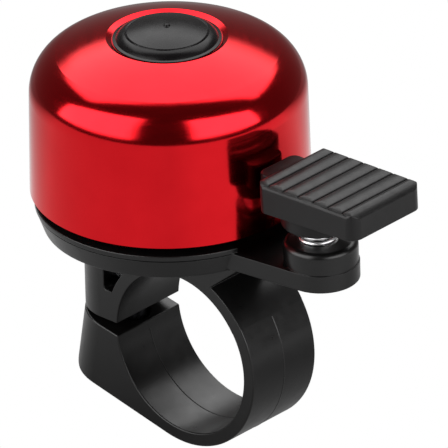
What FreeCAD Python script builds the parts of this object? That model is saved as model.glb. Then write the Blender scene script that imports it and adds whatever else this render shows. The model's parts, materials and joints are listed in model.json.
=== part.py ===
"""Bicycle bell with a flick lever, clamped round a handlebar.

Millimetres. The origin is the centre of the handlebar bore. +Y runs along the handlebar,
+X points from the bell towards the lever, and +Z is up through the bell.
"""
import FreeCAD, Part
import math
import os
from FreeCAD import Vector

# ---- driving dimensions ----------------------------------------------------------------
BAR_RADIUS = 11.1            # a 22.2 mm handlebar
BAND_OUTER_RADIUS = 12.9
BAND_HALF_WIDTH = 5.92

BELL_X = -6.4                # the bell's upright axis
RIM_Z = 20.2
RIM_RADIUS = 18.25
WALL_TOP_RADIUS = 18.0
WALL_HEIGHT = 13.7
SHOULDER_RADIUS = 6.0
CROWN_RADIUS = 34.9
DOME_THICKNESS = 1.2
RIM_CHAMFER = 0.1
DISH_RADIUS = 7.9            # shallow dish that the cap sits in
DISH_FLOOR_RADIUS = 7.2
DISH_DEPTH = 0.35
DISH_WALL_LEAN = 0.25        # how far the dish's inner wall stands in from its outer one
DISH_HOLE_RADIUS = 2.2       # for the dome screw

DISC_BOTTOM = 15.25
DISC_BOTTOM_RADIUS = 16.65
DISC_RADIUS = 17.6           # its side tapers out to here, below the groove
DISC_GROOVE_RADIUS = 17.3
DISC_GROOVE_BOTTOM = 17.95
DISC_GROOVE_TOP = 18.1
DISC_FLANGE_RADIUS = 17.7
DISC_FLANGE_CORNER = 0.1
DISC_TOP = 18.8
POST_RADIUS = 4.2
POST_FOOT_RADIUS = 6.0
POST_FOOT_HEIGHT = 3.0
PILOT_PLAY = 0.5             # room in the post below the dome screw's tip

BOSS_X = 19.8                # upright axis of the boss
STRIKER_X = 19.4             # upright axis of the spring and the lever
BOSS_PLATE_RADIUS = 5.0
BOSS_RADIUS = 4.85
BOSS_TOP = 21.1
BOSS_ROUNDING = 0.8
BOSS_SOCKET_FLOOR = 17.0
ARM_BOTTOM = 15.66
ARM_TOP = 18.1
ARM_ROOT_X = 6.0
ARM_ROOT_HALF_WIDTH = 6.9
ARM_LIP = 0.8
ARM_TRAY_DEPTH = 0.7

SPRING_WIRE = 0.62
SPRING_MEAN_RADIUS = 2.24
SPRING_BOTTOM = 17.05
SPRING_PLAY = 0.05

COLLAR_RADIUS = 4.8
COLLAR_BOTTOM = 23.2
COLLAR_ROUNDING = 0.5
SOCKET_TOP = 24.6

PADDLE_INNER_X = 14.6
PADDLE_OUTER_X = 31.55
PADDLE_HALF_WIDTH = 6.6
PADDLE_MID_X = 22.9
PADDLE_CREST_Z = 30.55       # crest of the ribs at mid length, before it is tilted
PADDLE_INNER_BOTTOM = 26.19
PADDLE_OUTER_BOTTOM = 26.66
PADDLE_TILT = 1.84           # degrees, outer end up
PADDLE_CORNER = 1.6          # of its four upright corners
PADDLE_EDGE_ROUNDING = 1.15  # of its two long top edges
INNER_END_ROUNDING = 0.9
OUTER_END_ROUNDING = 1.9
OUTER_END_RUN = 1.65         # how much of that arc is left before the end face
RIB_COUNT = 7
RIB_PITCH = 2.55
RIB_FIRST_X = 15.41
RIB_HEIGHT = 0.34
VALLEY_HALF_WIDTH = 0.15     # sharp groove cut between neighbouring ribs
VALLEY_DEPTH = 0.2
NUB_FACE_X = 12.1
NUB_HALF_WIDTH = 3.5
NUB_BOTTOM = 26.2
NUB_TOP = 29.5
NUB_OVERLAP = 2.0            # how far it runs into the paddle
NUB_CORNER = 1.2
NUB_ROUNDING = 0.3

BLOCK_X = -14.1              # upright axis of the clamp screw and the blocks' round ends
BLOCK_RADIUS = 5.92
UPPER_BLOCK_BOTTOM = 0.6
WINDOW_BOTTOM = 4.95         # opening through the base between block and band
WINDOW_INNER_RADIUS = 12.75
WINDOW_LEFT_X = -13.3
WINDOW_TOP = 14.0
WINDOW_RIGHT_X = -7.0
WINDOW_LEFT_CORNER = 0.5
WINDOW_RIGHT_CORNER = 0.25
WEB_BOTTOM = 8.0             # inside the band, so the bore cuts it away
GUSSET_LOW = (5.83, 11.66)   # (x, z) of the slope from the band up to the disc
GUSSET_HIGH = (10.7, 15.66)

# The lower block leans, so it is drawn from its bore corner outwards and downwards.
BLOCK_TILT = 10.2            # degrees
LOWER_BLOCK_CORNER = (-10.48, -1.3)
LOWER_BLOCK_THICKNESS = 9.0
LOWER_BLOCK_REACH = 9.75     # from the bore corner to the far end, along its top face
LOWER_BLOCK_ROUNDING = 3.2   # of its far bottom corner, seen from the side
LOWER_BLOCK_INSIDE = (-9.0, 3.0)    # a point in the bore, which the bore cuts away

SPLIT_ANGLE = 33.0           # degrees above +X where the strap starts to flex
SCREW_RADIUS = 2.0
SCREW_HOLE_RADIUS = 2.45
SCREW_SEAT_Z = -7.0
SCREW_TIP_Z = 9.4
SCREW_TIP_PLAY = 1.2
SCREW_TIP_CHAMFER = 0.4
SCREW_HEAD_RADIUS = 3.5
SCREW_HEAD_HEIGHT = 2.3
SCREW_HEAD_ROUNDING = 0.9
SCREW_RECESS = (3.9, 1.3)    # width across the crosshead and its depth
SEAT_BORE_RADIUS = 3.9
NUT_WIDTH = 7.0
NUT_HEIGHT = 2.2
NUT_BOTTOM = 6.0
NUT_BORE_RADIUS = 2.09
NUT_PLAY = 0.15
NUT_CORNER = 0.5
SCREW_ROOM_RADIUS = 2.75

CLEAR = 1.0                  # how far a cutting tool runs past the face it cuts
JOIN = 0.5                   # how deep joined bodies sink into each other
TOUCH = 1e-3                 # tolerance for finding edges by where they lie
FAR = 40.0                   # beyond everything

UP = Vector(0, 0, 1)
ALONG_BAR = Vector(0, 1, 0)


# ---- helpers ---------------------------------------------------------------------------
def cylinder(radius, bottom, top, x=0.0, y=0.0):
    return Part.makeCylinder(radius, top - bottom, Vector(x, y, bottom), UP)


def cone(bottom_radius, top_radius, bottom, top, x=0.0):
    return Part.makeCone(bottom_radius, top_radius, top - bottom, Vector(x, 0, bottom), UP)


def slab(low, high):
    size = [b - a for a, b in zip(low, high)]
    return Part.makeBox(size[0], size[1], size[2], Vector(*low))


def bar_cylinder(radius, half_width):
    start = Vector(0, -half_width, 0)
    return Part.makeCylinder(radius, 2 * half_width, start, ALONG_BAR)


def prism(points, half_width):
    """A side outline (x, z) drawn out along the bar."""
    corners = [Vector(x, -half_width, z) for x, z in points]
    face = Part.Face(Part.makePolygon(corners + corners[:1]))
    return face.extrude(Vector(0, 2 * half_width, 0))


def drawn(edges, half_width):
    """A closed side outline made of lines and arcs, drawn out along the bar."""
    wire = Part.Wire(Part.__sortEdges__(edges))
    solid = Part.Face(wire).extrude(Vector(0, 2 * half_width, 0))
    solid.translate(Vector(0, -half_width, 0))
    return solid


def plate(points, bottom, top):
    """A plan outline (x, y) drawn upwards."""
    corners = [Vector(x, y, bottom) for x, y in points]
    face = Part.Face(Part.makePolygon(corners + corners[:1]))
    return face.extrude(Vector(0, 0, top - bottom))


def line(start, end):
    return Part.LineSegment(Vector(start[0], 0, start[1]), Vector(end[0], 0, end[1])).toShape()


def arc(centre, radius, first, last):
    """Arc in the XZ plane between two angles, in degrees from +X."""
    points = []
    for angle in (first, (first + last) / 2, last):
        turn = math.radians(angle)
        points.append(Vector(centre[0] + radius * math.cos(turn), 0, centre[1] + radius * math.sin(turn)))
    return Part.Arc(*points).toShape()


def arc_through(start, middle, end):
    points = [Vector(x, 0, z) for x, z in (start, middle, end)]
    return Part.Arc(*points).toShape()


def on_circle(centre, radius, angle):
    turn = math.radians(angle)
    return (centre[0] + radius * math.cos(turn), centre[1] + radius * math.sin(turn))


def turned(edges, axis_x):
    """Revolve a closed (radius, z) profile about the upright axis at axis_x."""
    wire = Part.Wire(Part.__sortEdges__(edges))
    solid = Part.Face(wire).revolve(Vector(0, 0, 0), UP, 360)
    solid.translate(Vector(axis_x, 0, 0))
    return solid


def soften(shape, radius, wanted):
    """Fillet the edges that the test function picks."""
    return shape.makeFillet(radius, [edge for edge in shape.Edges if wanted(edge)])


def is_upright(edge):
    if not isinstance(edge.Curve, Part.Line):
        return False
    return abs(abs(edge.tangentAt(edge.FirstParameter).z) - 1) < TOUCH


def lies_at(edge, z):
    box = edge.BoundBox
    return abs(box.ZMin - z) < TOUCH and abs(box.ZMax - z) < TOUCH


def centred_at(edge, x, z):
    middle = edge.CenterOfMass
    return math.hypot(middle.x - x, middle.z - z) < TOUCH


def single(shape):
    """The one solid inside a boolean result, with needless seams removed."""
    clean = shape.removeSplitter()
    assert len(clean.Solids) == 1, len(clean.Solids)
    return clean.Solids[0]


# ---- the dome and what holds it --------------------------------------------------------
def dome_frame():
    """Centres of the shoulder and crown arcs, and the angle where they meet."""
    shoulder = (WALL_TOP_RADIUS - SHOULDER_RADIUS, RIM_Z + WALL_HEIGHT)
    drop = math.sqrt((CROWN_RADIUS - SHOULDER_RADIUS) ** 2 - shoulder[0] ** 2)
    crown = (0.0, shoulder[1] - drop)
    meet = math.degrees(math.atan2(drop, shoulder[0]))
    return shoulder, crown, meet


def crown_height(radius, thickness=0.0):
    crown = dome_frame()[1]
    return crown[1] + math.sqrt((CROWN_RADIUS - thickness) ** 2 - radius ** 2)


DISH_FLOOR = crown_height(DISH_RADIUS) - DISH_DEPTH
POST_TOP = DISH_FLOOR - DOME_THICKNESS


def make_dome():
    shoulder, crown, meet = dome_frame()
    lip_angle = math.degrees(math.acos(DISH_RADIUS / CROWN_RADIUS))
    inner_lip_radius = DISH_RADIUS - DISH_WALL_LEAN
    inner_crown = CROWN_RADIUS - DOME_THICKNESS
    inner_shoulder = SHOULDER_RADIUS - DOME_THICKNESS
    inner_lip_angle = math.degrees(math.acos(inner_lip_radius / inner_crown))
    rim_outer = (RIM_RADIUS, RIM_Z + RIM_CHAMFER)
    rim_foot = (RIM_RADIUS - RIM_CHAMFER, RIM_Z)
    rim_inner = (RIM_RADIUS - DOME_THICKNESS, RIM_Z)
    inner_wall_top = (WALL_TOP_RADIUS - DOME_THICKNESS, shoulder[1])
    lip = on_circle(crown, CROWN_RADIUS, lip_angle)
    inner_lip = on_circle(crown, inner_crown, inner_lip_angle)
    dish = (DISH_FLOOR_RADIUS, DISH_FLOOR)
    dish_under = (DISH_FLOOR_RADIUS - DISH_WALL_LEAN, POST_TOP)
    edges = [
        line(rim_inner, rim_foot),
        line(rim_foot, rim_outer),
        line(rim_outer, (WALL_TOP_RADIUS, shoulder[1])),
        arc(shoulder, SHOULDER_RADIUS, 0, meet),
        arc(crown, CROWN_RADIUS, meet, lip_angle),
        line(lip, dish),
        line(dish, (DISH_HOLE_RADIUS, DISH_FLOOR)),
        line((DISH_HOLE_RADIUS, DISH_FLOOR), (DISH_HOLE_RADIUS, POST_TOP)),
        line((DISH_HOLE_RADIUS, POST_TOP), dish_under),
        line(dish_under, inner_lip),
        arc(crown, inner_crown, inner_lip_angle, meet),
        arc(shoulder, inner_shoulder, meet, 0),
        line(inner_wall_top, rim_inner),
    ]
    return turned(edges, BELL_X)


# The cap's half section, as (radius, height above the dish floor).
CAP_FOOT = (7.05, 0.0)
CAP_FOOT_TOP = (7.05, 0.12)
CAP_EDGE = (6.66, 0.18)
CAP_SKIRT = (6.22, 0.62)
CAP_FLANK = (5.5, 0.98)
CAP_CREASE = (5.34, 0.9)
CAP_BROW_MIDDLE = (5.29, 1.0)
CAP_BROW = (5.2, 1.07)
CAP_HEIGHT = 1.85
CAP_BORE_RADIUS = 4.5
CAP_BORE_STEP = 0.5
CAP_CROWN_BORE_RADIUS = 3.55
CAP_BORE_HEIGHT = 1.1

WASHER_RADIUS = 4.4
WASHER_THICKNESS = 0.4


def make_cap():
    """Snap-on plastic cap: a thin foot, a curved skirt, a crease, then a domed button, hollow in steps."""
    rise = CAP_HEIGHT - CAP_BROW[1]
    button_radius = (CAP_BROW[0] ** 2 + rise ** 2) / (2 * rise)
    brow_angle = math.degrees(math.acos(CAP_BROW[0] / button_radius))
    bore_top = (CAP_BORE_RADIUS, CAP_BORE_STEP)
    crown_bore_top = (CAP_CROWN_BORE_RADIUS, CAP_BORE_HEIGHT)
    edges = [
        line((CAP_BORE_RADIUS, 0.0), CAP_FOOT),
        line(CAP_FOOT, CAP_FOOT_TOP),
        line(CAP_FOOT_TOP, CAP_EDGE),
        arc_through(CAP_EDGE, CAP_SKIRT, CAP_FLANK),
        line(CAP_FLANK, CAP_CREASE),
        arc_through(CAP_CREASE, CAP_BROW_MIDDLE, CAP_BROW),
        arc((0.0, CAP_HEIGHT - button_radius), button_radius, brow_angle, 90),
        line((0.0, CAP_HEIGHT), (0.0, CAP_BORE_HEIGHT)),
        line((0.0, CAP_BORE_HEIGHT), crown_bore_top),
        line(crown_bore_top, (CAP_CROWN_BORE_RADIUS, CAP_BORE_STEP)),
        line((CAP_CROWN_BORE_RADIUS, CAP_BORE_STEP), bore_top),
        line(bore_top, (CAP_BORE_RADIUS, 0.0)),
    ]
    cap = turned(edges, BELL_X)
    cap.translate(Vector(0, 0, DISH_FLOOR))
    return cap


DOME_SCREW_RADIUS = 1.9
DOME_SCREW_LENGTH = 10.0
DOME_HEAD_RADIUS = 3.4
DOME_HEAD_HEIGHT = 0.65
DOME_HEAD_ROUNDING = 0.3
DOME_RECESS = (3.4, 0.4)     # width across the crosshead and its depth


def cross_recess(size, depth, bottom, x):
    """Cutting tool for a crosshead recess that opens downwards at z = bottom."""
    long_half, short_half = size / 2, size / 9
    tools = []
    for half_x, half_y in ((long_half, short_half), (short_half, long_half)):
        low = (x - half_x, -half_y, bottom - CLEAR)
        tools.append(slab(low, (x + half_x, half_y, bottom + depth)))
    return tools[0].fuse(tools[1])


def make_dome_washer():
    ring = cylinder(WASHER_RADIUS, DISH_FLOOR, DISH_FLOOR + WASHER_THICKNESS, BELL_X)
    return ring.cut(cylinder(DISH_HOLE_RADIUS, DISH_FLOOR - CLEAR, DISH_FLOOR + CLEAR, BELL_X))


def make_dome_screw():
    seat = DISH_FLOOR + WASHER_THICKNESS
    head_top = seat + DOME_HEAD_HEIGHT
    shank = cylinder(DOME_SCREW_RADIUS, seat - DOME_SCREW_LENGTH, seat + JOIN, BELL_X)
    head = cylinder(DOME_HEAD_RADIUS, seat, head_top, BELL_X)
    head = soften(head, DOME_HEAD_ROUNDING, lambda edge: lies_at(edge, head_top))
    recess = cross_recess(DOME_RECESS[0], DOME_RECESS[1], 0, 0)
    recess.rotate(Vector(0, 0, 0), Vector(1, 0, 0), 180)
    recess.translate(Vector(BELL_X, 0, head_top))
    return single(shank.fuse(head).cut(recess))


# ---- the base moulding and its clamp strap ---------------------------------------------
def arm_outline(inset, tip_radius):
    """Tapering arm in plan, from inside the disc to the boss, as two straight sides."""
    slope = (ARM_ROOT_HALF_WIDTH - BOSS_PLATE_RADIUS) / (BOSS_X - ARM_ROOT_X)
    angle = math.atan(slope)
    touch_x = BOSS_X + tip_radius * math.sin(angle)
    touch_y = tip_radius * math.cos(angle)
    root_y = ARM_ROOT_HALF_WIDTH - inset
    return [(ARM_ROOT_X, -root_y), (touch_x, -touch_y), (touch_x, touch_y), (ARM_ROOT_X, root_y)]


def make_disc():
    """Tapering disc with a thin flange on top, set off by a groove."""
    groove_foot = (DISC_GROOVE_RADIUS, DISC_GROOVE_BOTTOM)
    groove_head = (DISC_GROOVE_RADIUS, DISC_GROOVE_TOP)
    flange_foot = (DISC_FLANGE_RADIUS, DISC_GROOVE_TOP)
    flange_side = (DISC_FLANGE_RADIUS, DISC_TOP - DISC_FLANGE_CORNER)
    flange_top = (DISC_FLANGE_RADIUS - DISC_FLANGE_CORNER, DISC_TOP)
    edges = [
        line((0, DISC_BOTTOM), (DISC_BOTTOM_RADIUS, DISC_BOTTOM)),
        line((DISC_BOTTOM_RADIUS, DISC_BOTTOM), (DISC_RADIUS, DISC_GROOVE_BOTTOM)),
        line((DISC_RADIUS, DISC_GROOVE_BOTTOM), groove_foot),
        line(groove_foot, groove_head),
        line(groove_head, flange_foot),
        line(flange_foot, flange_side),
        line(flange_side, flange_top),
        line(flange_top, (0, DISC_TOP)),
        line((0, DISC_TOP), (0, DISC_BOTTOM)),
    ]
    return turned(edges, BELL_X)


def make_arm():
    arm = plate(arm_outline(0.0, BOSS_PLATE_RADIUS), ARM_BOTTOM, ARM_TOP)
    return arm.fuse(cylinder(BOSS_PLATE_RADIUS, ARM_BOTTOM, ARM_TOP, BOSS_X))


def make_tray():
    """The shallow tray in the arm's top, which runs in under the dome."""
    outline = arm_outline(ARM_LIP, BOSS_PLATE_RADIUS - ARM_LIP)
    return plate(outline, ARM_TOP - ARM_TRAY_DEPTH, DISC_TOP + CLEAR)


def make_boss():
    boss = cylinder(BOSS_RADIUS, ARM_BOTTOM + JOIN, BOSS_TOP, BOSS_X)
    return soften(boss, BOSS_ROUNDING, lambda edge: lies_at(edge, BOSS_TOP))


def spring_socket(low, high):
    """Cutting tool for the round hole that holds one end of the spring."""
    return cylinder(SPRING_MEAN_RADIUS + SPRING_WIRE / 2 + SPRING_PLAY, low, high, STRIKER_X)


def make_post():
    foot = cone(POST_FOOT_RADIUS, POST_RADIUS, DISC_TOP, DISC_TOP + POST_FOOT_HEIGHT, BELL_X)
    stem = cylinder(POST_RADIUS, DISC_TOP - JOIN, POST_TOP, BELL_X)
    screw_tip = DISH_FLOOR + WASHER_THICKNESS - DOME_SCREW_LENGTH
    pilot = cylinder(DOME_SCREW_RADIUS, screw_tip - PILOT_PLAY, POST_TOP + CLEAR, BELL_X)
    return stem.fuse(foot).cut(pilot)


def make_upper_block():
    """Round-ended block under the disc, with the opening beside it and the nut's slot."""
    bottom, top = UPPER_BLOCK_BOTTOM, ARM_BOTTOM + JOIN
    block = cylinder(BLOCK_RADIUS, bottom, top, BLOCK_X)
    body = slab((BLOCK_X, -BAND_HALF_WIDTH, bottom), (0, BAND_HALF_WIDTH, top))
    block = block.fuse(body)
    return block.cut(make_window())


def make_window():
    """Cutting tool for the opening, which follows the band on its right."""
    reach, low = BAND_HALF_WIDTH + CLEAR, WINDOW_BOTTOM
    window = slab((WINDOW_LEFT_X, -reach, low), (WINDOW_RIGHT_X, reach, WINDOW_TOP))
    window = window.cut(bar_cylinder(WINDOW_INNER_RADIUS, reach + CLEAR))
    heel_x = -math.sqrt(WINDOW_INNER_RADIUS ** 2 - low ** 2)
    window = soften(window, WINDOW_LEFT_CORNER, lambda edge: centred_at(edge, WINDOW_LEFT_X, low))
    return soften(window, WINDOW_RIGHT_CORNER, lambda edge: centred_at(edge, heel_x, low))


def cut_nut_and_screw_room(block):
    half = NUT_WIDTH / 2 + NUT_PLAY
    low = (BLOCK_X - half, -half, NUT_BOTTOM - NUT_PLAY)
    high = (BLOCK_X + half, half, NUT_BOTTOM + NUT_HEIGHT + NUT_PLAY)
    block = block.cut(slab(low, high))
    room = cylinder(SCREW_ROOM_RADIUS, UPPER_BLOCK_BOTTOM - CLEAR, SCREW_TIP_Z + SCREW_TIP_PLAY, BLOCK_X)
    return block.cut(room)


def split_wedge():
    """All of the band's section that belongs to the strap, from the split round below the bore."""
    angles = [SPLIT_ANGLE, -30, -90, -150, -180]
    points = [(0, 0)] + [on_circle((0, 0), FAR, angle) for angle in angles]
    return prism(points, BAND_HALF_WIDTH + CLEAR)


def cut_handlebar(shape):
    return shape.cut(bar_cylinder(BAR_RADIUS, BAND_HALF_WIDTH + CLEAR))


def make_base():
    left, top = WINDOW_RIGHT_X - CLEAR, ARM_BOTTOM + JOIN
    web = prism([
        (left, top),
        (left, WEB_BOTTOM),
        (0, WEB_BOTTOM),
        GUSSET_LOW,
        GUSSET_HIGH,
        (GUSSET_HIGH[0], top),
    ], BAND_HALF_WIDTH)
    band = bar_cylinder(BAND_OUTER_RADIUS, BAND_HALF_WIDTH).cut(split_wedge())
    band = band.cut(slab((-FAR, -FAR, -FAR), (0, FAR, UPPER_BLOCK_BOTTOM)))
    clamp_half = cut_handlebar(make_upper_block().fuse([web, band]))
    tray_top = make_disc().fuse(make_arm()).cut(make_tray())
    base = tray_top.fuse([make_boss(), make_post(), clamp_half])
    base = base.cut(spring_socket(BOSS_SOCKET_FLOOR, BOSS_TOP + CLEAR))
    return single(cut_nut_and_screw_room(base))


def leaning(along, deep):
    """A point of the lower block: along its top face from the bore corner, and down from it."""
    tilt = math.radians(BLOCK_TILT)
    x = LOWER_BLOCK_CORNER[0] - along * math.cos(tilt) - deep * math.sin(tilt)
    z = LOWER_BLOCK_CORNER[1] + along * math.sin(tilt) - deep * math.cos(tilt)
    return (x, z)


def make_lower_block():
    """Leaning block with a half-round far end, whose underside runs smoothly into the band."""
    thickness, reach = LOWER_BLOCK_THICKNESS, LOWER_BLOCK_REACH
    corner_x, corner_z = leaning(reach, thickness)
    distance = math.hypot(corner_x, corner_z)
    touching = math.atan2(corner_z, corner_x) + math.acos(BAND_OUTER_RADIUS / distance)
    outline = [
        leaning(-CLEAR, 0.0),
        leaning(reach, 0.0),
        (corner_x, corner_z),
        on_circle((0, 0), BAND_OUTER_RADIUS, math.degrees(touching)),
        leaning(*LOWER_BLOCK_INSIDE),
    ]

    block = soften(prism(outline, BAND_HALF_WIDTH), LOWER_BLOCK_ROUNDING,
                   lambda edge: centred_at(edge, corner_x, corner_z))
    end_along = reach - BLOCK_RADIUS
    top_x, top_z = leaning(end_along, -CLEAR)
    bottom_x, bottom_z = leaning(end_along, thickness + CLEAR)
    start = Vector(top_x, 0, top_z)
    downwards = Vector(bottom_x, 0, bottom_z) - start
    round_end = Part.makeCylinder(BLOCK_RADIUS, downwards.Length, start, downwards)
    rest = prism([
        (top_x, top_z),
        (bottom_x, bottom_z),
        leaning(-FAR, thickness + CLEAR),
        leaning(-FAR, -CLEAR),
    ], BAND_HALF_WIDTH)
    return block.common(round_end.fuse(rest))


def make_strap():
    """Free half of the band with its block, which leans until the screw is tight."""
    band = bar_cylinder(BAND_OUTER_RADIUS, BAND_HALF_WIDTH).common(split_wedge())
    above_block = prism([
        leaning(-CLEAR, 0),
        leaning(FAR, 0),
        leaning(FAR, -FAR),
        leaning(-CLEAR, -FAR),
    ], BAND_HALF_WIDTH + CLEAR)
    strap = cut_handlebar(band.fuse(make_lower_block()).cut(above_block))
    hole = cylinder(SCREW_HOLE_RADIUS, SCREW_SEAT_Z - CLEAR, UPPER_BLOCK_BOTTOM + CLEAR, BLOCK_X)
    seat = cylinder(SEAT_BORE_RADIUS, -FAR, SCREW_SEAT_Z, BLOCK_X)
    return single(strap.cut(hole).cut(seat))


# ---- clamp screw and nut ---------------------------------------------------------------
def make_clamp_screw():
    head_bottom = SCREW_SEAT_Z - SCREW_HEAD_HEIGHT
    shank = cylinder(SCREW_RADIUS, SCREW_SEAT_Z - JOIN, SCREW_TIP_Z, BLOCK_X)
    tip_edges = [edge for edge in shank.Edges if lies_at(edge, SCREW_TIP_Z)]
    shank = shank.makeChamfer(SCREW_TIP_CHAMFER, tip_edges)
    head = cylinder(SCREW_HEAD_RADIUS, head_bottom, SCREW_SEAT_Z, BLOCK_X)
    head = soften(head, SCREW_HEAD_ROUNDING, lambda edge: lies_at(edge, head_bottom))
    recess = cross_recess(SCREW_RECESS[0], SCREW_RECESS[1], head_bottom, BLOCK_X)
    return single(shank.fuse(head).cut(recess))


def make_clamp_nut():
    half, top = NUT_WIDTH / 2, NUT_BOTTOM + NUT_HEIGHT
    nut = slab((BLOCK_X - half, -half, NUT_BOTTOM), (BLOCK_X + half, half, top))
    nut = soften(nut, NUT_CORNER, is_upright)
    return nut.cut(cylinder(NUT_BORE_RADIUS, NUT_BOTTOM - CLEAR, top + CLEAR, BLOCK_X))


# ---- striker ---------------------------------------------------------------------------
def paddle_side():
    """The paddle seen from the side, before it is ribbed and tilted."""
    inner, outer, crest = PADDLE_INNER_X, PADDLE_OUTER_X, PADDLE_CREST_Z
    inner_centre = (inner + INNER_END_ROUNDING, crest - INNER_END_ROUNDING)
    outer_centre = (outer - OUTER_END_RUN, crest - OUTER_END_ROUNDING)
    outer_angle = math.degrees(math.acos(OUTER_END_RUN / OUTER_END_ROUNDING))
    outer_top = on_circle(outer_centre, OUTER_END_ROUNDING, outer_angle)
    return drawn([
        line((inner, PADDLE_INNER_BOTTOM), (outer, PADDLE_OUTER_BOTTOM)),
        line((outer, PADDLE_OUTER_BOTTOM), outer_top),
        arc(outer_centre, OUTER_END_ROUNDING, outer_angle, 90),
        line((outer_centre[0], crest), (inner_centre[0], crest)),
        arc(inner_centre, INNER_END_ROUNDING, 90, 180),
        line((inner, inner_centre[1]), (inner, PADDLE_INNER_BOTTOM)),
    ], PADDLE_HALF_WIDTH + CLEAR)


def rib_room():
    """Cutting tool that leaves round-topped ribs with sharp grooves between them."""
    crest, reach = PADDLE_CREST_Z, PADDLE_HALF_WIDTH + CLEAR
    valley = crest - RIB_HEIGHT
    low = (PADDLE_INNER_X - CLEAR, -reach, valley)
    room = slab(low, (PADDLE_OUTER_X + CLEAR, reach, crest + CLEAR))
    rib_radius = (RIB_PITCH ** 2 / 4 + RIB_HEIGHT ** 2) / (2 * RIB_HEIGHT)
    for index in range(RIB_COUNT):
        start = Vector(RIB_FIRST_X + index * RIB_PITCH, -reach - CLEAR, crest - rib_radius)
        room = room.cut(Part.makeCylinder(rib_radius, 2 * (reach + CLEAR), start, ALONG_BAR))
    grooves = []
    for index in range(RIB_COUNT - 1):
        x = RIB_FIRST_X + (index + 0.5) * RIB_PITCH
        grooves.append(prism([
            (x, valley - VALLEY_DEPTH),
            (x + VALLEY_HALF_WIDTH, valley + VALLEY_DEPTH / 2),
            (x - VALLEY_HALF_WIDTH, valley + VALLEY_DEPTH / 2),
        ], reach))
    return room.fuse(grooves)


def make_paddle():
    """Wedge-shaped thumb plate with grip ribs across its top and rounded long edges."""
    half, crest = PADDLE_HALF_WIDTH, PADDLE_CREST_Z
    low = PADDLE_INNER_BOTTOM - CLEAR
    plan = soften(slab((PADDLE_INNER_X, -half, low), (PADDLE_OUTER_X, half, crest + CLEAR)),
                  PADDLE_CORNER, is_upright)
    loaf = slab((PADDLE_INNER_X - CLEAR, -half, low), (PADDLE_OUTER_X + CLEAR, half, crest))

    def is_long_top(edge):
        return lies_at(edge, crest) and edge.Length > PADDLE_OUTER_X - PADDLE_INNER_X

    loaf = soften(loaf, PADDLE_EDGE_ROUNDING, is_long_top)
    paddle = paddle_side().common(plan).common(loaf).cut(rib_room())
    paddle.rotate(Vector(PADDLE_MID_X, 0, crest - RIB_HEIGHT), ALONG_BAR, -PADDLE_TILT)
    return paddle


def make_nub():
    """Hammer at the paddle's inner end, with a rounded striking face."""
    low = (NUB_FACE_X, -NUB_HALF_WIDTH, NUB_BOTTOM)
    nub = slab(low, (PADDLE_INNER_X + NUB_OVERLAP, NUB_HALF_WIDTH, NUB_TOP))

    def is_face_corner(edge):
        return is_upright(edge) and abs(edge.BoundBox.XMin - NUB_FACE_X) < TOUCH

    def is_top_rim(edge):
        return lies_at(edge, NUB_TOP) and edge.BoundBox.XMin < PADDLE_INNER_X

    nub = soften(nub, NUB_CORNER, is_face_corner)
    return soften(nub, NUB_ROUNDING, is_top_rim)


def make_lever():
    """Paddle and hammer nub over a round collar that grips the spring."""
    collar = cylinder(COLLAR_RADIUS, COLLAR_BOTTOM, PADDLE_OUTER_BOTTOM + JOIN, STRIKER_X)
    collar = soften(collar, COLLAR_ROUNDING, lambda edge: lies_at(edge, COLLAR_BOTTOM))
    socket = spring_socket(COLLAR_BOTTOM - CLEAR, SOCKET_TOP)
    return single(make_paddle().fuse([make_nub(), collar]).cut(socket))


def make_spring():
    """Close-wound striker spring, as a plain tube of the coil's outer and inner size."""
    outer = SPRING_MEAN_RADIUS + SPRING_WIRE / 2
    inner = SPRING_MEAN_RADIUS - SPRING_WIRE / 2
    top = SOCKET_TOP - SPRING_PLAY
    bore = cylinder(inner, SPRING_BOTTOM - CLEAR, top + CLEAR, STRIKER_X)
    return cylinder(outer, SPRING_BOTTOM, top, STRIKER_X).cut(bore)


NODES = {
    "dome": make_dome,
    "dome_cap": make_cap,
    "dome_washer": make_dome_washer,
    "dome_screw": make_dome_screw,
    "base": make_base,
    "clamp_strap": make_strap,
    "clamp_screw": make_clamp_screw,
    "clamp_nut": make_clamp_nut,
    "striker_lever": make_lever,
    "striker_spring": make_spring,
}

os.makedirs("parts", exist_ok=True)
for name, make in NODES.items():
    shape = make()
    print(name, "valid" if shape.isValid() else "INVALID", len(shape.Solids), round(shape.Volume, 2))
    shape.exportStep("parts/" + name + ".step")
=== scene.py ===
"""Looks of a bicycle bell: red anodised dome, black nylon clamp and lever, steel spring.

Everything is in metres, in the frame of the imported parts: +Y along the handlebar,
+X from the bell towards the thumb lever, +Z up.
"""

import json
import math

import bmesh
import bpy
from mathutils import Matrix, Vector


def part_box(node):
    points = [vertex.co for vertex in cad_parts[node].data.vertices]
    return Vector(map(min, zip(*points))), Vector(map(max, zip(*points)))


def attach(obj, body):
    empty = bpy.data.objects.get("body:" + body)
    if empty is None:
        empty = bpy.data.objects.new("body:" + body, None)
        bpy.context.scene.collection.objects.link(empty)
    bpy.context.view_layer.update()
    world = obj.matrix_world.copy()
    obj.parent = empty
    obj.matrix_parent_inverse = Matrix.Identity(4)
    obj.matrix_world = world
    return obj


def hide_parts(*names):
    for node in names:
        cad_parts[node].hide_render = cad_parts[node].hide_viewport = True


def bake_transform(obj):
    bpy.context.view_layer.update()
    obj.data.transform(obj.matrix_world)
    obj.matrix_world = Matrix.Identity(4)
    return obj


MM = 0.001

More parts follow.
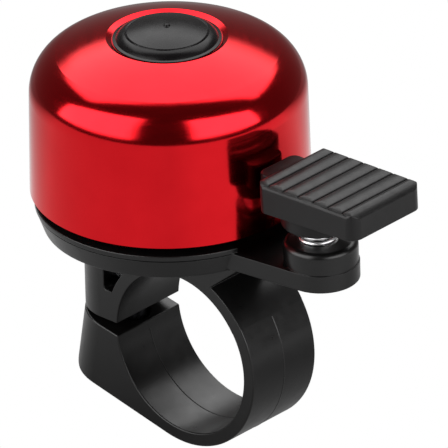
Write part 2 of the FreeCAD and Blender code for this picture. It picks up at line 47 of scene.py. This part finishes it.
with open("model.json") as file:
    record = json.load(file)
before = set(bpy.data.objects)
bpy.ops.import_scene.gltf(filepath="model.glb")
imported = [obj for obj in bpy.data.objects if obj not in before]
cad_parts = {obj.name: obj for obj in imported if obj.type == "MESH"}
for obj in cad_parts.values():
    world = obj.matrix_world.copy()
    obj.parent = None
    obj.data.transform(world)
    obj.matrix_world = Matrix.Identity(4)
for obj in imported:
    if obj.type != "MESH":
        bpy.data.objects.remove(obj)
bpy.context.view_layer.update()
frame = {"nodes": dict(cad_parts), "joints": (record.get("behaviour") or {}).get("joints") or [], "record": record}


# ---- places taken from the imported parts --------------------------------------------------
def middle(node):
    low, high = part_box(node)
    return (low + high) / 2


DOME_LOW, DOME_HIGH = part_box("dome")
CAP_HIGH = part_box("dome_cap")[1]
SPRING_LOW, SPRING_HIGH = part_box("striker_spring")
STRAP_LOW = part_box("clamp_strap")[0]
BELL_AXIS = middle("dome")
SPRING_AXIS = middle("striker_spring")
JOINTS = {joint["name"]: joint for joint in frame["joints"]}
STRIKER_PIVOT = Vector(JOINTS["striker_pull"]["pos_m"])
SPLIT_POINT = Vector(JOINTS["strap_flex"]["pos_m"])
BAR_RADIUS = frame["record"]["mounts"][0]["dims"]["r_mm"] * MM
BAND_RADIUS = math.hypot(SPLIT_POINT.x, SPLIT_POINT.z)


# ---- node helpers ------------------------------------------------------------------------
class Nodes:
    """Short names for building a material's node tree."""

    def __init__(self, material):
        material.use_nodes = True
        self.tree = material.node_tree
        self.tree.nodes.clear()
        self.output = self.add("ShaderNodeOutputMaterial")
        self.place = self.add("ShaderNodeTexCoord").outputs["Object"]

    def add(self, kind, **settings):
        node = self.tree.nodes.new(kind)
        for name, value in settings.items():
            setattr(node, name, value)
        return node

    def link(self, source, target):
        self.tree.links.new(source, target)

    def principled(self, **values):
        shader = self.add("ShaderNodeBsdfPrincipled")
        for name, value in values.items():
            shader.inputs[name.replace("_", " ")].default_value = value
        self.link(shader.outputs[0], self.output.inputs["Surface"])
        return shader

    def noise(self, size, detail=3.0, stretch=(1, 1, 1)):
        """Noise whose features are about size metres across."""
        mapping = self.add("ShaderNodeMapping")
        mapping.inputs["Scale"].default_value = stretch
        self.link(self.place, mapping.inputs["Vector"])
        noise = self.add("ShaderNodeTexNoise")
        noise.inputs["Scale"].default_value = 1 / size
        noise.inputs["Detail"].default_value = detail
        noise.inputs["Roughness"].default_value = 0.55
        self.link(mapping.outputs[0], noise.inputs["Vector"])
        return noise.outputs["Fac"]

    def remap(self, value, low, high, from_low=0.3, from_high=0.7):
        node = self.add("ShaderNodeMapRange")
        node.inputs["From Min"].default_value = from_low
        node.inputs["From Max"].default_value = from_high
        node.inputs["To Min"].default_value = low
        node.inputs["To Max"].default_value = high
        self.link(value, node.inputs["Value"])
        return node.outputs[0]

    def product(self, first, second):
        node = self.add("ShaderNodeMath", operation="MULTIPLY")
        self.link(first, node.inputs[0])
        self.link(second, node.inputs[1])
        return node.outputs[0]

    def blend(self, share, first, second):
        node = self.add("ShaderNodeMix", data_type="RGBA")
        self.link(share, node.inputs["Factor"])
        node.inputs["A"].default_value = (*first, 1)
        node.inputs["B"].default_value = (*second, 1)
        return node.outputs["Result"]

    def emission(self, level=None, colour=(1.0, 1.0, 1.0)):
        """Plain light, as strong as level says, or of strength 1."""
        light = self.add("ShaderNodeEmission")
        light.inputs["Color"].default_value = (*colour, 1)
        light.inputs["Strength"].default_value = 1.0
        if level is not None:
            self.link(level, light.inputs["Strength"])
        self.link(light.outputs[0], self.output.inputs["Surface"])

    def bump(self, height, depth, previous=None):
        """Raises the surface by depth metres where height is 1."""
        node = self.add("ShaderNodeBump")
        node.inputs["Strength"].default_value = 1.0
        node.inputs["Distance"].default_value = depth
        self.link(height, node.inputs["Height"])
        if previous is not None:
            self.link(previous, node.inputs["Normal"])
        return node.outputs[0]


# ---- materials ---------------------------------------------------------------------------
EDGE_TINT = (1.0, 0.6, 0.6, 1.0)


def red_anodised():
    """Polished aluminium under a red dye: mirror-like, with a faint turned grain."""
    material = bpy.data.materials.new("red_anodised")
    nodes = Nodes(material)
    shader = nodes.principled(Metallic=1.0, Specular_Tint=EDGE_TINT, Coat_Weight=1.0,
                              Coat_IOR=1.12, Coat_Roughness=0.10)
    cloud = nodes.remap(nodes.noise(6 * MM), 0.0, 1.0)
    colour = nodes.blend(cloud, (0.465, 0.0040, 0.0080), (0.500, 0.0052, 0.0096))
    nodes.link(colour, shader.inputs["Base Color"])
    grain = nodes.noise(0.9 * MM, detail=4.0, stretch=(0.25, 0.25, 3.0))
    nodes.link(nodes.remap(grain, 0.11, 0.16), shader.inputs["Roughness"])
    ripple = nodes.noise(1.1 * MM, detail=1.5)
    nodes.link(nodes.bump(ripple, 0.0035 * MM), shader.inputs["Normal"])
    return material


def black_nylon(name, colour, index, roughness, grain_size, grain_depth):
    """Moulded nylon: nearly black, semi-gloss, with a fine spark-eroded grain."""
    material = bpy.data.materials.new(name)
    nodes = Nodes(material)
    shader = nodes.principled(IOR=index)
    cloud = nodes.remap(nodes.noise(3.5 * MM), 0.0, 1.0)
    lighter = tuple(1.5 * channel for channel in colour)
    nodes.link(nodes.blend(cloud, colour, lighter), shader.inputs["Base Color"])
    smear = nodes.remap(nodes.noise(1.6 * MM, detail=5.0), 0.88 * roughness, 1.12 * roughness)
    nodes.link(smear, shader.inputs["Roughness"])
    wave = nodes.bump(nodes.noise(2.5 * MM, detail=1.0), 0.012 * MM)
    grain = nodes.noise(grain_size, detail=2.0)
    nodes.link(nodes.bump(grain, grain_depth, wave), shader.inputs["Normal"])
    return material


def plated_steel(name, colour, roughness, brushed):
    """Steel with fine marks, drawn out along the directions in which brushed is small."""
    material = bpy.data.materials.new(name)
    nodes = Nodes(material)
    shader = nodes.principled(Metallic=1.0)
    dull = tuple(0.8 * channel for channel in colour)
    patches = nodes.remap(nodes.noise(0.8 * MM), 0.0, 1.0)
    nodes.link(nodes.blend(patches, dull, colour), shader.inputs["Base Color"])
    marks = nodes.noise(0.12 * MM, detail=3.0, stretch=brushed)
    nodes.link(nodes.remap(marks, 0.7 * roughness, 1.4 * roughness), shader.inputs["Roughness"])
    nodes.link(nodes.bump(marks, 0.001 * MM), shader.inputs["Normal"])
    return material


RED = red_anodised()
NYLON = black_nylon("black_nylon", (0.0013, 0.0012, 0.0012), index=1.34, roughness=0.31,
                    grain_size=0.22 * MM, grain_depth=0.004 * MM)
LEVER_NYLON = black_nylon("grained_nylon", (0.0026, 0.0024, 0.0025), index=1.275, roughness=0.38,
                          grain_size=0.16 * MM, grain_depth=0.016 * MM)
CAP_NYLON = black_nylon("glossy_nylon", (0.0020, 0.0017, 0.0019), index=1.21, roughness=0.27,
                        grain_size=0.3 * MM, grain_depth=0.006 * MM)
SPRING_STEEL = plated_steel("spring_steel", (0.82, 0.82, 0.83), 0.34, (1, 1, 1))
ZINC = plated_steel("zinc_steel", (0.62, 0.63, 0.65), 0.27, (1, 1, 0.3))
BLACK_STEEL = plated_steel("black_steel", (0.016, 0.016, 0.018), 0.33, (1, 1, 0.3))


# ---- mesh helpers ------------------------------------------------------------------------
def new_piece(name, mesh, material):
    piece = bpy.data.objects.new(name, mesh)
    bpy.context.scene.collection.objects.link(piece)
    mesh.materials.clear()
    mesh.materials.append(material)
    return piece


def piece_from(name, shape, material):
    """A piece with the mesh that has been drawn in shape."""
    mesh = bpy.data.meshes.new(name)
    shape.to_mesh(mesh)
    shape.free()
    return new_piece(name, mesh, material)


def skinned(name, rings, material):
    """A closed solid skinned over a row of rings of points, with flat ends."""
    shape = bmesh.new()
    rows = [[shape.verts.new(point) for point in ring] for ring in rings]
    sides = len(rows[0])
    for row, following in zip(rows, rows[1:]):
        for side in range(sides):
            after = (side + 1) % sides
            shape.faces.new((row[side], row[after], following[after], following[side]))
    shape.faces.new(rows[0])
    shape.faces.new(rows[-1])
    bmesh.ops.recalc_face_normals(shape, faces=shape.faces)
    return piece_from(name, shape, material)


def apply_modifiers(piece):
    graph = bpy.context.evaluated_depsgraph_get()
    mesh = bpy.data.meshes.new_from_object(piece.evaluated_get(graph))
    piece.modifiers.clear()
    piece.data = mesh


def clean_copy(node):
    """The node's solid with its flat faces whole again, ready for rounding its edges."""
    mesh = frame["nodes"][node].data.copy()
    body = bmesh.new()
    body.from_mesh(mesh)
    bmesh.ops.remove_doubles(body, verts=body.verts, dist=0.0005 * MM)
    bmesh.ops.dissolve_limit(body, angle_limit=math.radians(0.3), verts=body.verts, edges=body.edges)
    body.to_mesh(mesh)
    body.free()
    return mesh


SHARP_EDGE = math.radians(25)


def whole_share(point):
    return 1.0


def edge_weights(mesh, share):
    """How much of the rounding each edge gets: none where the surface goes on smoothly."""
    shape = bmesh.new()
    shape.from_mesh(mesh)
    weights = []
    for edge in shape.edges:
        turns = len(edge.link_faces) == 2 and edge.calc_face_angle() > SHARP_EDGE
        weights.append(max(share(corner.co) for corner in edge.verts) if turns else 0.0)
    shape.free()
    return weights


def softened(name, node, body, material, radius, share=whole_share):
    """A copy of a CAD node with its edges rounded, which stands for the node.

    share tells, for a point, how much of the radius the edges there get.
    """
    mesh = clean_copy(node)
    weights = mesh.attributes.new("bevel_weight_edge", "FLOAT", "EDGE")
    weights.data.foreach_set("value", edge_weights(mesh, share))
    piece = new_piece(name, mesh, material)
    bevel = piece.modifiers.new("round_edges", "BEVEL")
    bevel.limit_method = "WEIGHT"
    bevel.width = radius
    bevel.segments = 3
    bevel.use_clamp_overlap = False
    bevel.miter_outer = "MITER_ARC"
    apply_modifiers(piece)
    smooth(piece)
    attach(piece, body)
    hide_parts(node)


def smooth(piece):
    piece.data.shade_smooth()
    piece.data.set_sharp_from_angle(angle=math.radians(35))
    weighted = piece.modifiers.new("flat_faces", "WEIGHTED_NORMAL")
    weighted.keep_sharp = True
    apply_modifiers(piece)


# ---- the parts that are right as they come -------------------------------------------------
def dress(node, material):
    for slot in frame["nodes"][node].material_slots:
        slot.material = material


dress("dome", RED)
dress("dome_cap", CAP_NYLON)
dress("dome_washer", ZINC)
dress("dome_screw", ZINC)
dress("clamp_screw", BLACK_STEEL)
dress("clamp_nut", ZINC)


# ---- the mouldings, with rounded edges -----------------------------------------------------
BASE_ROUNDING = 0.16 * MM
STRAP_ROUNDING = 0.22 * MM
LEVER_ROUNDING = 0.1 * MM
FLANGE_TOP = DOME_LOW.z - 1.4 * MM
GROOVE_REACH = 0.95 * MM      # from the flange's top down to just below the disc's groove
FINE_SHARE = 0.3
SPLIT_TOLERANCE = 0.02 * MM


def split_share(point):
    """None of the rounding on the flat face where the strap leaves the base."""
    off_plane = (point.x * SPLIT_POINT.z - point.z * SPLIT_POINT.x) / BAND_RADIUS
    return 0.0 if abs(off_plane) < SPLIT_TOLERANCE and point.x > 0.5 * BAR_RADIUS else 1.0


def base_share(point):
    """Less rounding round the disc's groove and on the narrow ledge at the foot of the boss."""
    near_groove = FLANGE_TOP - GROOVE_REACH < point.z < FLANGE_TOP + 0.1 * MM
    return FINE_SHARE if near_groove else split_share(point)


softened("base_moulding", "base", "bell", NYLON, BASE_ROUNDING, base_share)
softened("strap_moulding", "clamp_strap", "strap", NYLON, STRAP_ROUNDING, split_share)
softened("lever_moulding", "striker_lever", "lever", LEVER_NYLON, LEVER_ROUNDING)


# ---- marks of moulding -------------------------------------------------------------------
RIDGE_HALF_WIDTH = 0.09 * MM
RIDGE_HEIGHT = 0.035 * MM
RIDGE_STEP = 2.0            # degrees
SPLIT_ANGLE = math.degrees(math.atan2(SPLIT_POINT.z, SPLIT_POINT.x))
UNDER_ANGLE = -75.0         # where the outer line ends, under the bar
LEVER_SIDE_ANGLE = -2.0     # where the inner line starts
BLOCK_ANGLE = -168.0        # where it ends, on the lower block


def mould_line(name, radius, height, first, last):
    """A fine ridge round the clamp band, midway along the bar, between two angles from +X."""
    count = round(abs(last - first) / RIDGE_STEP)
    profile = ((-RIDGE_HALF_WIDTH, 0.0), (0.0, height), (RIDGE_HALF_WIDTH, 0.0))
    rings = []
    for step in range(count + 1):
        turn = math.radians(first + (last - first) * step / count)
        outwards = Vector((math.cos(turn), 0, math.sin(turn)))
        rings.append([(radius + rise) * outwards + Vector((0, along, 0)) for along, rise in profile])
    ridge = skinned(name, rings, NYLON)
    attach(ridge, "strap")


GATE_SIDES = 32
GATE_PROFILE = ((0.55, -0.12), (0.42, 0.02), (0.36, 0.20), (0.22, 0.28))     # radius, rise: mm


def make_gate_mark():
    """The stub left on top of the cap where the plastic was let into its mould."""
    centre = Vector((BELL_AXIS.x, BELL_AXIS.y, CAP_HIGH.z))
    rings = []
    for radius, rise in GATE_PROFILE:
        ring = []
        for step in range(GATE_SIDES):
            turn = 2 * math.pi * step / GATE_SIDES
            offset = Vector((radius * math.cos(turn), radius * math.sin(turn), rise))
            ring.append(centre + MM * offset)
        rings.append(ring)
    mark = skinned("gate_mark", rings, CAP_NYLON)
    mark.data.shade_smooth()
    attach(mark, "bell")


mould_line("outer_mould_line", BAND_RADIUS, RIDGE_HEIGHT, SPLIT_ANGLE - 1, UNDER_ANGLE)
mould_line("inner_mould_line", BAR_RADIUS, -RIDGE_HEIGHT, LEVER_SIDE_ANGLE, BLOCK_ANGLE)
make_gate_mark()


# ---- spring ------------------------------------------------------------------------------
WIRE_RADIUS = 0.26 * MM
COIL_PITCH = 0.74 * MM
COIL_PHASE = math.radians(20)
COIL_STEPS = 40
WIRE_SIDES = 12


def coil(name, bottom, top):
    """Part of the striker's coil, as wire wound from bottom to top."""
    mean_radius = (SPRING_HIGH.x - SPRING_LOW.x) / 2 - WIRE_RADIUS
    centre = Vector((SPRING_AXIS.x, SPRING_AXIS.y, 0))
    slope = COIL_PITCH / (2 * math.pi * mean_radius)
    start = round((bottom - SPRING_LOW.z) / COIL_PITCH * COIL_STEPS)
    stop = round((top - SPRING_LOW.z) / COIL_PITCH * COIL_STEPS)
    rings = []
    for step in range(start, stop + 1):
        turn = 2 * math.pi * step / COIL_STEPS + COIL_PHASE
        outwards = Vector((math.cos(turn), math.sin(turn), 0))
        along = Vector((-math.sin(turn), math.cos(turn), slope)).normalized()
        sideways = along.cross(outwards)
        height = SPRING_LOW.z + COIL_PITCH * step / COIL_STEPS
        wire_centre = centre + mean_radius * outwards + Vector((0, 0, height))
        ring = []
        for side in range(WIRE_SIDES):
            angle = 2 * math.pi * side / WIRE_SIDES
            offset = math.cos(angle) * outwards + math.sin(angle) * sideways
            ring.append(wire_centre + WIRE_RADIUS * offset)
        rings.append(ring)
    piece = skinned(name, rings, SPRING_STEEL)
    piece.data.shade_smooth()
    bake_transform(piece)
    return piece


lower_coil = coil("spring_lower", SPRING_LOW.z + WIRE_RADIUS, STRIKER_PIVOT.z)
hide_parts("striker_spring")
coil("spring_upper", STRIKER_PIVOT.z, SPRING_HIGH.z - WIRE_RADIUS)


# ---- studio ------------------------------------------------------------------------------
CAMERA_AZIMUTH = math.radians(43.34)      # from -Y towards +X
CAMERA_ELEVATION = math.radians(27.40)
CAMERA_ROLL = math.radians(1.44)
CAMERA_DISTANCE = 2.057
CAMERA_LENS = 1279.0                      # focal length in mm
CAMERA_AIM = Vector((-1.272, 4.347, 14.387)) * MM

TOWARDS_CAMERA = Vector((math.sin(CAMERA_AZIMUTH), -math.cos(CAMERA_AZIMUTH), 0))
CAMERA_RIGHT = Vector((math.cos(CAMERA_AZIMUTH), math.sin(CAMERA_AZIMUTH), 0))
STUDIO_CENTRE = Vector((BELL_AXIS.x, BELL_AXIS.y, DOME_HIGH.z))


def make_camera():
    back = math.cos(CAMERA_ELEVATION) * TOWARDS_CAMERA + Vector((0, 0, math.sin(CAMERA_ELEVATION)))
    level_up = back.cross(CAMERA_RIGHT)
    right = math.cos(CAMERA_ROLL) * CAMERA_RIGHT - math.sin(CAMERA_ROLL) * level_up
    up = math.sin(CAMERA_ROLL) * CAMERA_RIGHT + math.cos(CAMERA_ROLL) * level_up
    data = bpy.data.cameras.new("camera")
    data.lens = CAMERA_LENS
    data.sensor_width = 36.0
    data.clip_start = 0.1
    data.clip_end = 50.0
    camera = bpy.data.objects.new("camera", data)
    place = CAMERA_AIM + CAMERA_DISTANCE * back
    camera.matrix_world = Matrix.Translation(place) @ Matrix((right, up, back)).transposed().to_4x4()
    bpy.context.scene.collection.objects.link(camera)
    bpy.context.scene.camera = camera


PANEL_RIM_GLOW = 0.12


def soft_glow(name, strength, fades):
    """Light that fades over a share of the panel at its left, right, lower and upper edges."""
    material = bpy.data.materials.new(name)
    nodes = Nodes(material)
    split = nodes.add("ShaderNodeSeparateXYZ")
    nodes.link(nodes.add("ShaderNodeTexCoord").outputs["UV"], split.inputs[0])
    left, right, lower, upper = fades
    level = None
    for axis, edge, width in ((0, 0.0, left), (0, 1.0, -right), (1, 0.0, lower), (1, 1.0, -upper)):
        fade = nodes.add("ShaderNodeMapRange", interpolation_type="SMOOTHSTEP")
        fade.inputs["From Min"].default_value = edge
        fade.inputs["From Max"].default_value = edge + width
        nodes.link(split.outputs[axis], fade.inputs["Value"])
        level = fade.outputs[0] if level is None else nodes.product(level, fade.outputs[0])
    nodes.emission(nodes.remap(level, PANEL_RIM_GLOW, strength, 0.0, 1.0))
    return material


def card(name, corners, material):
    """A panel that only reflections and light see."""
    mesh = bpy.data.meshes.new(name)
    mesh.from_pydata([tuple(corner) for corner in corners], [], [(0, 1, 2, 3)])
    layer = mesh.uv_layers.new(name="panel")
    for loop, place in zip(layer.data, ((0, 0), (1, 0), (1, 1), (0, 1))):
        loop.uv = place
    panel = new_piece(name, mesh, material)
    panel.visible_camera = False


def from_bell(azimuth, distance, height):
    """A place round the bell: azimuth from the camera's side towards its right, in degrees."""
    turn = math.radians(azimuth)
    level = math.cos(turn) * TOWARDS_CAMERA + math.sin(turn) * CAMERA_RIGHT
    return STUDIO_CENTRE + distance * level + Vector((0, 0, height))


BACK_WALL_GLOW = 0.20
FRONT_WALL_GLOW = 0.10
WALL_COLOUR = (1.0, 0.97, 0.95)
WALL_RADIUS = 8.0
OVERHEAD_HEIGHT = 0.6
OVERHEAD_GLOW = 5.0
OVERHEAD_FADES = (0.14, 0.14, 0.1, 0.5)
SIDE_DISTANCE = 0.5
SIDE_GLOW = 6.0
SIDE_FADES = (0.12, 0.12, 0.14, 0.14)
INNER_FOOT = -0.04


def overhead_box():
    """A softbox above and behind; its corners are to the right and away, in heights of it."""
    corners = []
    for right, away in ((-0.98, 0.05), (1.32, 0.05), (1.08, 2.15), (-0.98, 2.5)):
        level = right * CAMERA_RIGHT - away * TOWARDS_CAMERA
        corners.append(STUDIO_CENTRE + OVERHEAD_HEIGHT * (level + Vector((0, 0, 1))))
    card("overhead_softbox", corners, soft_glow("overhead_softbox", OVERHEAD_GLOW, OVERHEAD_FADES))


def side_box(name, inner_azimuth, outer_azimuth, stretch, inner_rise, outer_rise, outer_foot):
    """A tall softbox beside the camera; its heights and stretch are in SIDE_DISTANCEs."""
    inner, outer = SIDE_DISTANCE, SIDE_DISTANCE * stretch
    card(name, [
        from_bell(inner_azimuth, inner, INNER_FOOT * SIDE_DISTANCE),
        from_bell(outer_azimuth, outer, outer_foot * SIDE_DISTANCE),
        from_bell(outer_azimuth, outer, outer_rise * SIDE_DISTANCE),
        from_bell(inner_azimuth, inner, inner_rise * SIDE_DISTANCE),
    ], soft_glow(name, SIDE_GLOW, SIDE_FADES))


def make_surround():
    """Dark studio walls, a little lighter behind the bell, which the camera doesn't see."""
    shape = bmesh.new()
    bmesh.ops.create_uvsphere(shape, u_segments=48, v_segments=24, radius=WALL_RADIUS)
    material = bpy.data.materials.new("studio_walls")
    nodes = Nodes(material)
    towards = nodes.add("ShaderNodeVectorMath", operation="DOT_PRODUCT")
    towards.inputs[1].default_value = TOWARDS_CAMERA
    nodes.link(nodes.place, towards.inputs[0])
    level = nodes.remap(towards.outputs["Value"], BACK_WALL_GLOW, FRONT_WALL_GLOW,
                        -WALL_RADIUS, WALL_RADIUS / 2)
    nodes.emission(level, WALL_COLOUR)
    walls = piece_from("studio_walls", shape, material)
    walls.visible_camera = False


TABLE_RADIUS = 0.34
SHADOW_CENTRE = 0.065 * CAMERA_RIGHT

# How light the reflected table is: from and to which level, between which two places, in metres.
CONTACT_SHADE = (0.2, 1.0, 0.0, 0.065)         # outwards from under the bell
SHADOW_SHADE = (0.42, 1.0, 0.025, 0.055)       # outwards from the shadow's centre
FAR_SHADE = (0.20, 1.0, -0.13, -0.03)          # towards the camera
RIGHT_SHADE = (1.10, 1.36, -0.06, 0.09)        # towards the camera's right
MIDDLE_SHADE = (0.90, 1.0, 0.0, 0.04)          # sideways from the middle


def table_top(name, material, height):
    shape = bmesh.new()
    bmesh.ops.create_circle(shape, cap_ends=True, segments=96, radius=TABLE_RADIUS)
    table = piece_from(name, shape, material)
    table.location = (BELL_AXIS.x, BELL_AXIS.y, STRAP_LOW.z + height)
    return table


def make_table():
    material = bpy.data.materials.new("pale_table")
    Nodes(material).emission()
    table_top("table", material, -0.05 * MM)


def make_reflected_table():
    """What reflections see of the table: painted shadow under the bell, and painted light that dims towards its
    far side.
    """
    material = bpy.data.materials.new("reflected_table")
    nodes = Nodes(material)

    def measure(operation, direction=None):
        node = nodes.add("ShaderNodeVectorMath", operation=operation)
        nodes.link(nodes.place, node.inputs[0])
        if direction is not None:
            node.inputs[1].default_value = direction
        return node.outputs["Value"]

    rightwards = measure("DOT_PRODUCT", CAMERA_RIGHT)
    sideways = nodes.add("ShaderNodeMath", operation="ABSOLUTE")
    nodes.link(rightwards, sideways.inputs[0])
    level = nodes.remap(measure("LENGTH"), *CONTACT_SHADE)
    for distance, shade in (
        (measure("DISTANCE", SHADOW_CENTRE), SHADOW_SHADE),
        (measure("DOT_PRODUCT", TOWARDS_CAMERA), FAR_SHADE),
        (rightwards, RIGHT_SHADE),
        (sideways.outputs[0], MIDDLE_SHADE),
    ):
        level = nodes.product(level, nodes.remap(distance, *shade))
    nodes.emission(level)
    table_top("reflected_table", material, 0.05 * MM).visible_camera = False


def make_world():
    world = bpy.data.worlds.new("pale_room")
    world.use_nodes = True
    world.node_tree.nodes["Background"].inputs["Color"].default_value = (1, 1, 1, 1)
    world.node_tree.nodes["Background"].inputs["Strength"].default_value = 1.0
    bpy.context.scene.world = world


make_camera()
overhead_box()
side_box("left_softbox", inner_azimuth=-22.0, outer_azimuth=-100.0, stretch=2.17,
         inner_rise=1.48, outer_rise=1.20, outer_foot=-0.08)
side_box("right_softbox", inner_azimuth=13.0, outer_azimuth=78.0, stretch=2.0,
         inner_rise=1.24, outer_rise=1.24, outer_foot=-0.04)
make_surround()
make_table()
make_reflected_table()
make_world()
bpy.context.scene.view_settings.view_transform = "Standard"
